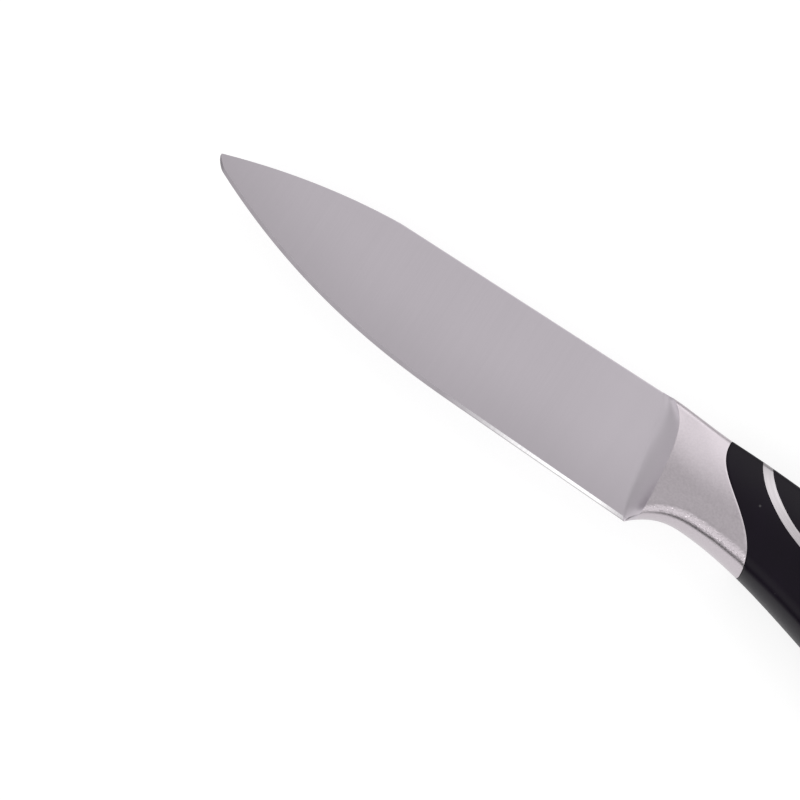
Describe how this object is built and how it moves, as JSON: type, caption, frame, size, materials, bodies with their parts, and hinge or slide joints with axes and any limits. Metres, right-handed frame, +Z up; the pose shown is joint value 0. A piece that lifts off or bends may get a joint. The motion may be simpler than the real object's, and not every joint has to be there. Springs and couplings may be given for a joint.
{
  "type": "kitchen knife",
  "caption": "Small kitchen knife with a pointed satin blade, a scooped steel bolster, a drooping black grip with a steel bow let into each side, and a steel butt cap.",
  "frame": {"origin": "middle of the knife's footprint as it lies on its right side, on the surface it lies on", "axes": "+X from the point to the butt, +Y from the cutting edge to the spine, +Z up through the left side"},
  "size_m": [0.1996, 0.0302, 0.013],
  "materials": {
    "blade_steel": "fine satin, ground across the blade, bright cutting bevel",
    "bolster_steel": "satin casting, softly blasted, crisp ridge",
    "grip_plastic": "black satin moulding with a faint purple cast",
    "bow_steel": "bright, brushed along its length",
    "pin_steel": "plain drawn steel, hidden in the grip"
  },
  "bodies": {
    "root": {"blade": "blade_steel", "bolster": "bolster_steel", "handle_half_left": "grip_plastic", "handle_half_right": "grip_plastic", "bow_strip_left": "bow_steel", "bow_strip_right": "bow_steel", "butt_cap": "bolster_steel", "tang_pin_front": "pin_steel", "tang_pin_rear": "pin_steel"}
  },
  "joints": []
}
